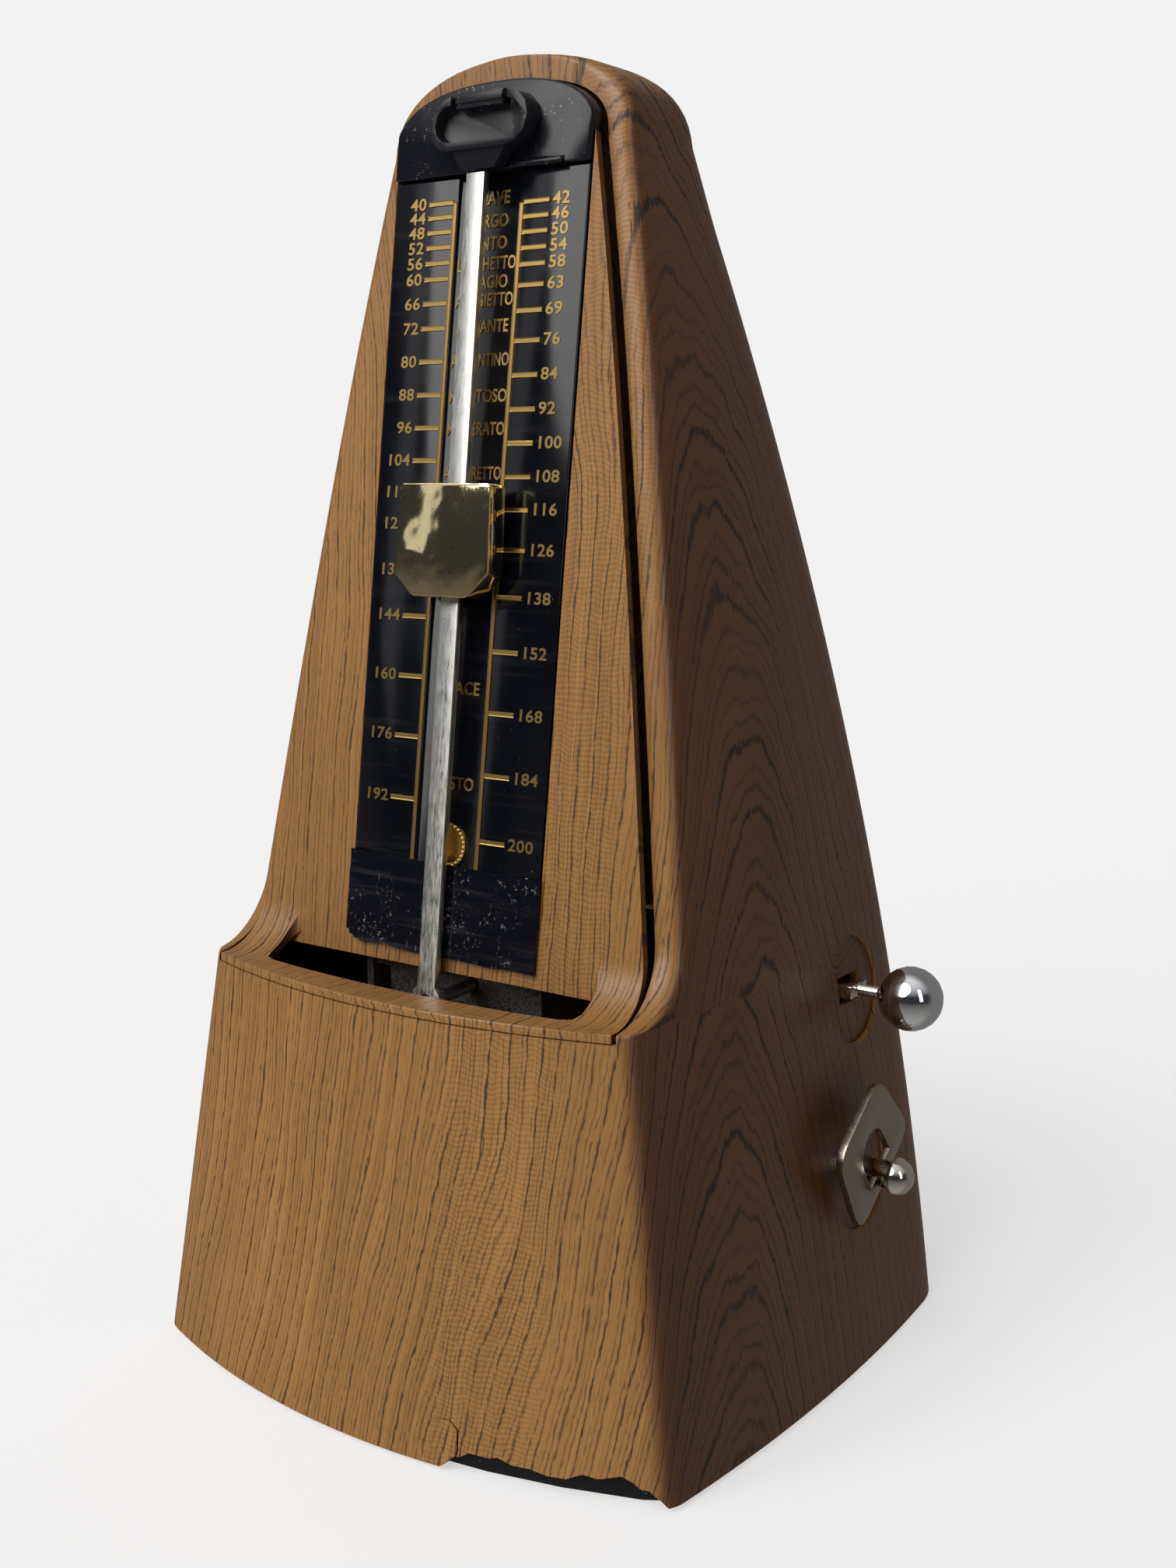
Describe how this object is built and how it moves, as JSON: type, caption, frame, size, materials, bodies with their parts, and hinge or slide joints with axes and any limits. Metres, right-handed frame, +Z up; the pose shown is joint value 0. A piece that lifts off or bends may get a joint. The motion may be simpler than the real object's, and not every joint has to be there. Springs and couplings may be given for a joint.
{
  "type": "metronome",
  "caption": "Pyramid-shaped mechanical metronome: a wood-grain case with a swinging pendulum and sliding weight over a tempo scale, a winding key and a pull knob for the bell",
  "frame": {"origin": "centre of the case's footprint on the standing plane, at the middle of the base tray's underside", "axes": "+Z up, the scale and pendulum face -Y, the winding key and the bell knob are on +X"},
  "size_m": [0.128, 0.1175, 0.2266],
  "materials": {
    "woodgrain_plastic": "moulded plastic under a satin oak-grain film, warm brown with darker grain",
    "black_plastic": "glossy blue-black moulded plastic, lightly dusty",
    "black_tape": "glossy wrinkled black adhesive tape",
    "rubber": "matt black rubber",
    "steel": "plain steel, lightly scratched",
    "nickel": "warm nickel plating, polished edges and satin faces",
    "chrome": "bright chrome",
    "gilt_brass": "polished pale gold with small tarnish specks",
    "brass": "turned brass",
    "cast_iron": "plain grey cast metal"
  },
  "bodies": {
    "case": {"case_shell": "woodgrain_plastic", "front_panel": "woodgrain_plastic", "scale_plate": "black_plastic", "top_bezel": "black_plastic", "pendulum_catch": "black_plastic", "base_tray": "black_plastic", "cover_tape": "black_tape", "foot_front_left": "rubber", "foot_rear_left": "rubber", "foot_front_right": "rubber", "foot_rear_right": "rubber", "base_screw_1": "steel", "base_screw_2": "steel", "base_screw_3": "steel", "base_screw_4": "steel", "left_frame_plate": "steel", "right_frame_plate": "steel", "frame_pillar_1": "brass", "frame_pillar_2": "brass", "frame_pillar_3": "brass", "frame_pillar_4": "brass", "front_bridge": "steel", "rear_bridge": "steel", "click_screw": "steel", "bell": "nickel", "bell_post": "steel", "bell_nut": "brass", "hammer_pin": "steel"},
    "winding_shaft": {"winding_arbor": "nickel", "ratchet_wheel": "steel"},
    "key": {"winding_key": "nickel"},
    "barrel": {"great_wheel": "brass", "spring_barrel": "brass", "barrel_cap": "brass", "mainspring": "steel"},
    "click_pawl": {"click": "steel"},
    "centre_train": {"centre_wheel": "brass", "centre_pinion": "steel", "centre_arbor": "steel", "beat_cams": "brass"},
    "crown_train": {"crown_wheel": "brass", "crown_pinion": "steel", "crown_arbor": "steel"},
    "pendulum": {"pendulum_rod": "steel", "pendulum_staff": "steel", "lower_bob": "cast_iron"},
    "weight": {"sliding_weight": "gilt_brass"},
    "selector": {"selector_bar": "nickel", "selector_knob": "chrome"},
    "hammer": {"bell_hammer": "brass"}
  },
  "joints": [
    {"name": "pendulum_swing", "type": "hinge", "parent": "case", "child": "pendulum", "pos_m": [0, -0.0366, 0.07], "axis": [0, 1, 0], "range_deg": [-25, 25]},
    {"name": "weight_slide", "type": "slide", "parent": "pendulum", "child": "weight", "axis": [0, 0.1254, 0.9921], "range_m": [-0.0655, 0.046]},
    {"name": "winding_turn", "type": "hinge", "parent": "case", "child": "winding_shaft", "pos_m": [0.0598, 0.016, 0.0352], "axis": [1, 0, 0], "continuous": true},
    {"name": "key_fold", "type": "hinge", "parent": "winding_shaft", "child": "key", "pos_m": [0.0598, 0.016, 0.0352], "axis": [0, 0.7986, 0.6018], "range_deg": [0, 80]},
    {"name": "barrel_turn", "type": "hinge", "parent": "case", "child": "barrel", "pos_m": [-0.014, 0.016, 0.0352], "axis": [1, 0, 0], "continuous": true},
    {"name": "centre_turn", "type": "hinge", "parent": "case", "child": "centre_train", "pos_m": [-0.014, 0.00398, 0.05333], "axis": [1, 0, 0], "continuous": true},
    {"name": "crown_turn", "type": "hinge", "parent": "case", "child": "crown_train", "pos_m": [-0.009, -0.0076, 0.07], "axis": [1, 0, 0], "continuous": true},
    {"name": "click_lift", "type": "hinge", "parent": "case", "child": "click_pawl", "pos_m": [0.0175, 0.0275, 0.0405], "axis": [1, 0, 0], "range_deg": [-15, 0], "stiffness_Nm_per_rad": 0.002},
    {"name": "selector_pull", "type": "slide", "parent": "case", "child": "selector", "axis": [1, 0, 0], "range_m": [-0.005, 0.006]},
    {"name": "hammer_strike", "type": "hinge", "parent": "case", "child": "hammer", "pos_m": [0.03, -0.008, 0.048], "axis": [1, 0, 0], "range_deg": [0, 14], "stiffness_Nm_per_rad": 0.004}
  ],
  "couplings": [
    {"joint": "centre_turn", "follows": "barrel_turn", "ratio": -4.8},
    {"joint": "crown_turn", "follows": "barrel_turn", "ratio": 23.04}
  ]
}
